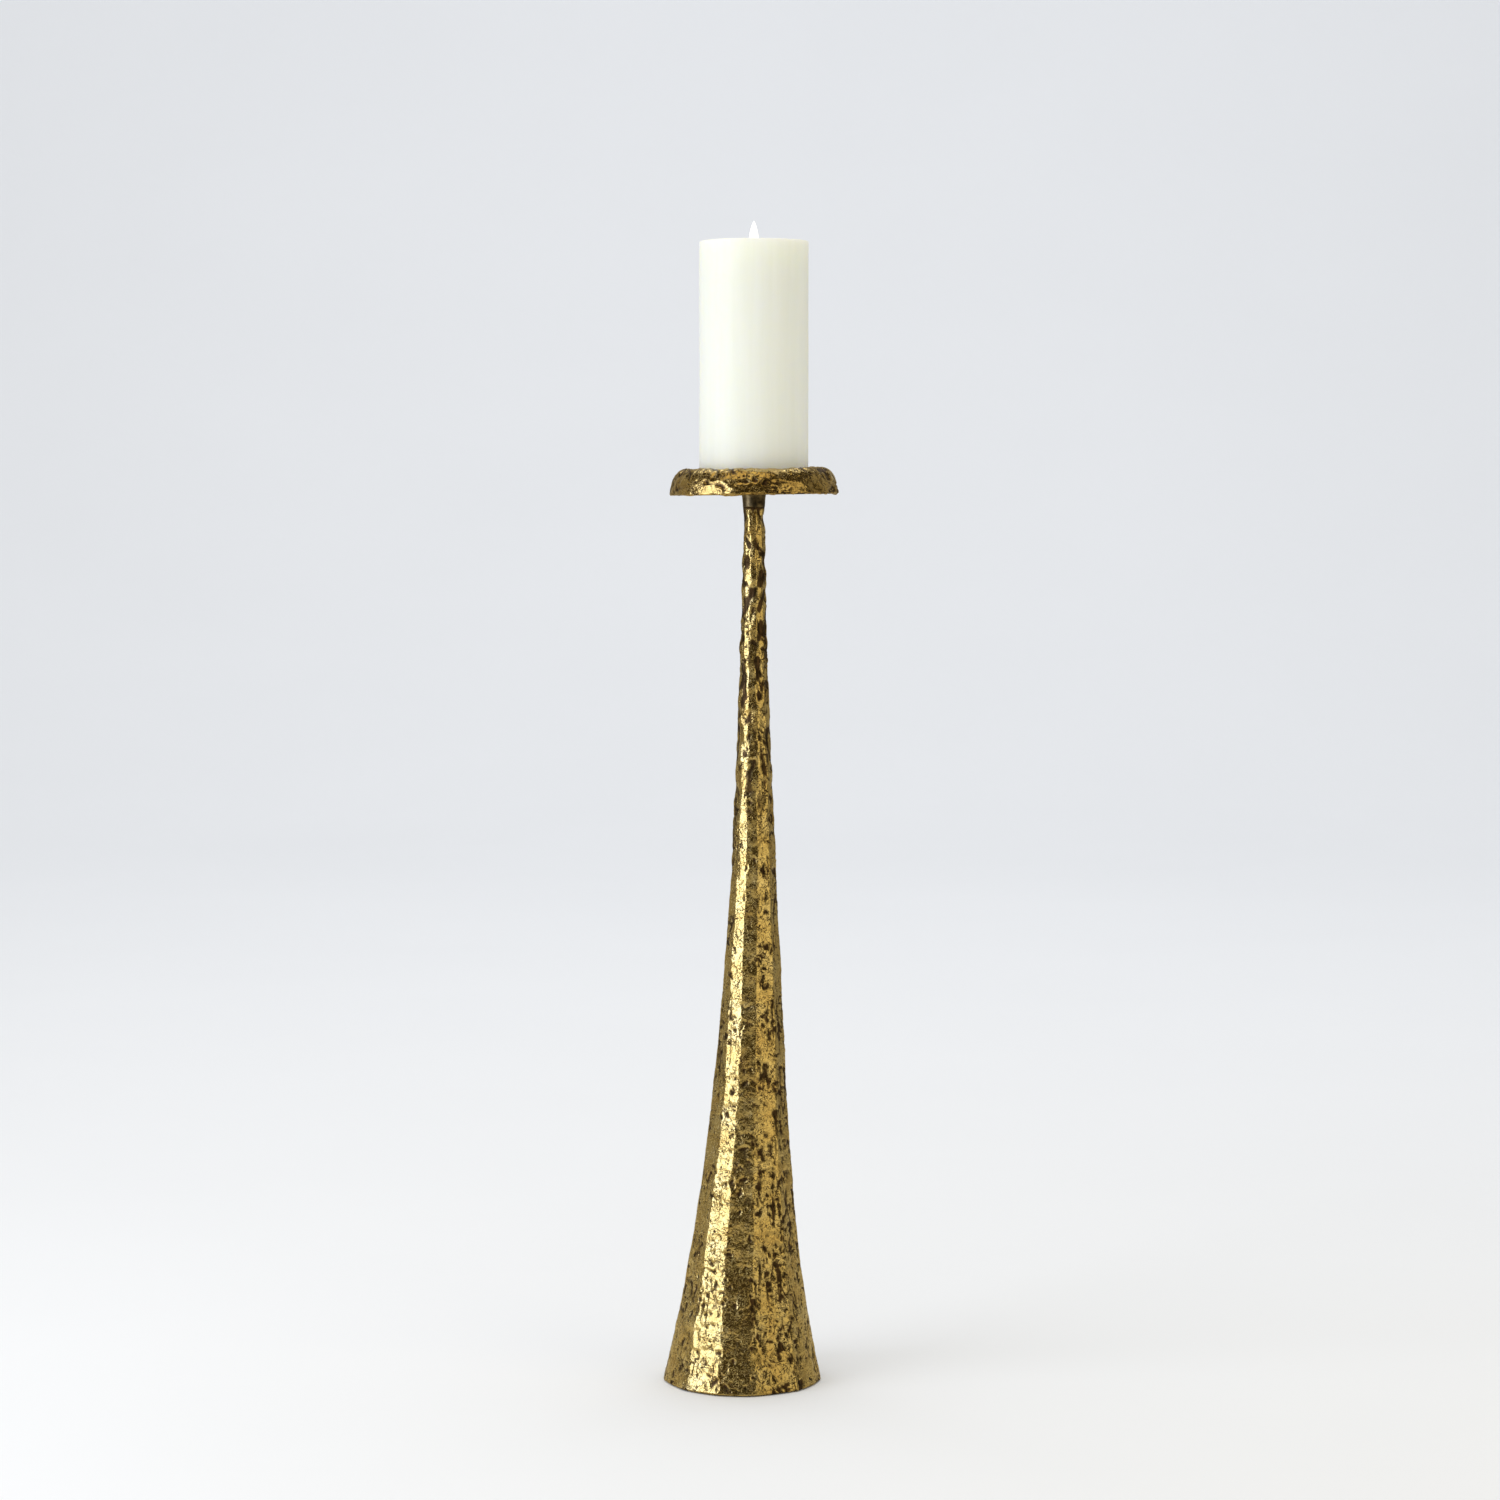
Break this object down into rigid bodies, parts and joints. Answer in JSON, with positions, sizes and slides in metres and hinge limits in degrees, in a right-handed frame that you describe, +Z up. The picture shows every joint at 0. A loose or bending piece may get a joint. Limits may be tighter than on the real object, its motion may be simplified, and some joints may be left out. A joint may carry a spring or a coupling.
{
  "type": "pillar candle holder",
  "caption": "Tall flared cast stem in antique brass with a drip pan, holding a lift-off flameless pillar candle with a swinging flame tip.",
  "frame": {"origin": "centre of the felt pad's underside, on the surface that the holder stands on", "axes": "+Z up through the foot's centre, -Y the front, +X to the viewer's right, towards which the casting leans; the pan and the candle share an axis 8.2 mm to the right of the foot's centre"},
  "size_m": [0.1242, 0.1184, 0.8184],
  "materials": {
    "antique_brass": "rough cast aluminium, plated antique brass, dark in the pits",
    "dark_steel": "blackened steel",
    "bright_steel": "nickel-plated steel",
    "felt": "dark pressed felt",
    "wax": "smooth ivory paraffin wax",
    "cream_plastic": "moulded cream plastic",
    "flame_plastic": "translucent white plastic",
    "lamp_resin": "clear warm-white lamp resin",
    "copper_wire": "enamelled copper winding",
    "circuit_board": "green printed circuit board",
    "battery_jacket": "plain dark printed jacket"
  },
  "bodies": {
    "holder": {"stem": "antique_brass", "neck_collar": "antique_brass", "drip_pan": "antique_brass", "pan_screw": "dark_steel", "base_plate": "dark_steel", "base_screw_1": "dark_steel", "base_screw_2": "dark_steel", "base_screw_3": "dark_steel", "felt_pad": "felt"},
    "candle": {"wax_shell": "wax", "flame_guide": "cream_plastic", "pivot_wire": "bright_steel", "led_lamp": "lamp_resin", "module_housing": "cream_plastic", "circuit_board": "circuit_board", "drive_coil": "copper_wire", "battery_case": "cream_plastic", "module_screw_1": "dark_steel", "module_screw_2": "dark_steel", "module_screw_3": "dark_steel", "battery_cell_1": "battery_jacket", "battery_cell_2": "battery_jacket", "case_spring": "bright_steel", "plus_contact": "bright_steel", "minus_contact": "bright_steel", "switch_body": "bright_steel"},
    "flame": {"flame_tip": "flame_plastic", "flame_magnet": "bright_steel"},
    "cover": {"battery_cover": "cream_plastic", "bridge_contact": "bright_steel", "cover_spring": "bright_steel"},
    "switch": {"timer_switch": "dark_steel"}
  },
  "joints": [
    {"name": "candle_lift", "type": "slide", "parent": "holder", "child": "candle", "axis": [0, 0, 1], "range_m": [0, 0.06]},
    {"name": "flame_swing", "type": "hinge", "parent": "candle", "child": "flame", "pos_m": [0.0082, 0, 0.7823], "axis": [0, 1, 0], "range_deg": [-8, 8]},
    {"name": "cover_twist", "type": "hinge", "parent": "candle", "child": "cover", "pos_m": [0.0082, 0, 0.6393], "axis": [0, 0, 1], "range_deg": [0, 40]},
    {"name": "switch_slide", "type": "slide", "parent": "candle", "child": "switch", "axis": [1, 0, 0], "range_m": [0, 0.005]}
  ]
}
